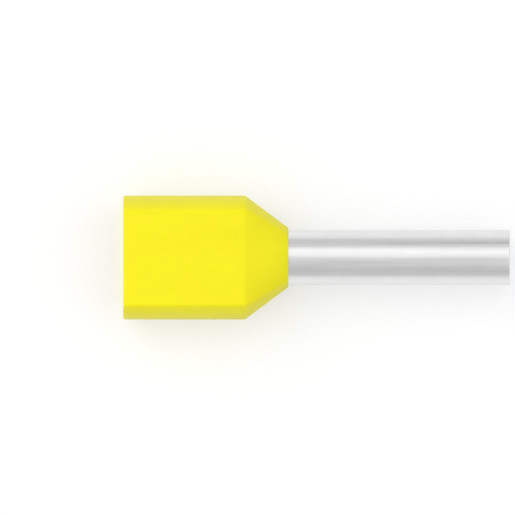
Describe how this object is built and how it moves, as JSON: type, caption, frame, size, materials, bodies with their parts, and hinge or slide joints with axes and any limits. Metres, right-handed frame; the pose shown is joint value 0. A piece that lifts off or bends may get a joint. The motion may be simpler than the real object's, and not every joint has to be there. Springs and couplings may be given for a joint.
{
  "type": "wire ferrule",
  "caption": "Insulated wire ferrule: a flat-sided oval plastic collar that takes wires side by side and tapers onto a thin crimp sleeve.",
  "frame": {"origin": "on the sleeve's axis, in the plane where the sleeve leaves the collar", "axes": "+X along the sleeve's axis, towards its tip; +Y along the collar's wide direction, in which the two wires lie side by side; +Z square to the collar's flat sides, upwards when the ferrule lies on one of them"},
  "size_m": [0.0174, 0.0056, 0.0038],
  "materials": {
    "collar_plastic": "satin moulded polypropylene, bright yellow",
    "tinned_copper": "bright tin plate over a drawn copper tube, light grey"
  },
  "bodies": {
    "root": {"insulating_collar": "collar_plastic", "crimp_sleeve": "tinned_copper"}
  },
  "joints": []
}
